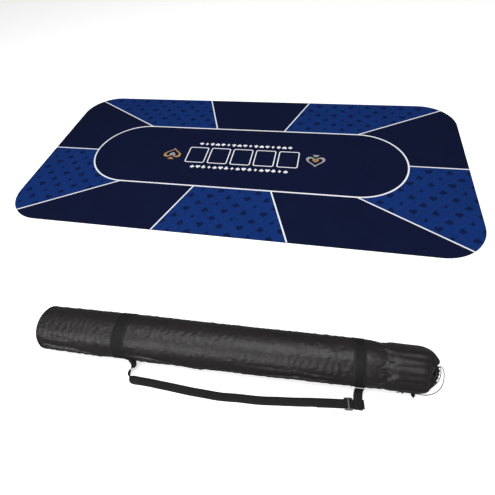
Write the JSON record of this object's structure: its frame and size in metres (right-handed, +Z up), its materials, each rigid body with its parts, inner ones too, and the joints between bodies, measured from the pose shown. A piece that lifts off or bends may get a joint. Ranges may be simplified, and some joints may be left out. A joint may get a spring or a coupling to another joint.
{
  "type": "roll-out card table top",
  "caption": "Roll-out card table top: rounded cloth mat on rubber, printed with seats, a racetrack and card boxes, with its drawstring bag and carrying strap.",
  "frame": {"origin": "centre of the mat's underside, on the surface that the mat and its bag lie on", "axes": "+X along the mat's long side, +Y across it away from the bag, +Z up"},
  "size_m": [1.8, 1.4446, 0.1206],
  "materials": {
    "base_rubber": "matt black foamed rubber",
    "print_cloth": "smooth knitted polyester, printed",
    "bag_cloth": "thin plain-woven nylon, slight sheen",
    "webbing": "woven strap, matt",
    "thread": "sewing thread",
    "slider_plastic": "moulded, polished",
    "eyelet_metal": "nickel plated",
    "cord": "braided round cord",
    "lock_plastic": "moulded, fine texture",
    "spring_steel": "spring wire"
  },
  "bodies": {
    "mat": {"mat_base": "base_rubber", "mat_cloth": "print_cloth"},
    "bag": {"bag_tube": "bag_cloth", "bag_mouth": "bag_cloth", "bag_end_panel": "bag_cloth", "end_seam": "bag_cloth", "band_left": "webbing", "band_right": "webbing", "anchor_left": "webbing", "anchor_right": "webbing", "bartack_left": "thread", "bartack_right": "thread", "mouth_hem": "bag_cloth", "cord_eyelet": "eyelet_metal", "drawcord_loop": "cord", "drawcord_a": "cord", "drawcord_b": "cord", "cord_knot": "cord"},
    "strap": {"strap_webbing": "webbing", "strap_left_tab": "webbing", "strap_right_tab": "webbing", "tab_bartack": "thread", "tail_hem": "webbing"},
    "slider": {"strap_slider": "slider_plastic"},
    "cord_lock": {"lock_barrel": "lock_plastic", "lock_spring": "spring_steel"},
    "lock_button": {"lock_plunger": "lock_plastic"}
  },
  "joints": [
    {"name": "bag_lift", "type": "slide", "parent": "mat", "child": "bag", "axis": [0, 0, 1], "range_m": [0, 0.4]},
    {"name": "strap_lift", "type": "hinge", "parent": "bag", "child": "strap", "pos_m": [0.18577, -0.92706, 0.0305], "axis": [-0.9992, -0.0408, 0], "range_deg": [0, 90]},
    {"name": "slider_slide", "type": "slide", "parent": "strap", "child": "slider", "axis": [-0.9918, -0.1278, 0], "range_m": [0, 0.05]},
    {"name": "lock_slide", "type": "slide", "parent": "bag", "child": "cord_lock", "axis": [-0.9992, -0.0408, 0], "range_m": [0, 0.0145]},
    {"name": "lock_press", "type": "slide", "parent": "cord_lock", "child": "lock_button", "axis": [-0.0408, 0.9992, 0], "range_m": [0, 0.003], "stiffness_N_per_m": 400, "springref_m": -0.004, "deforming": ["lock_spring"]}
  ]
}
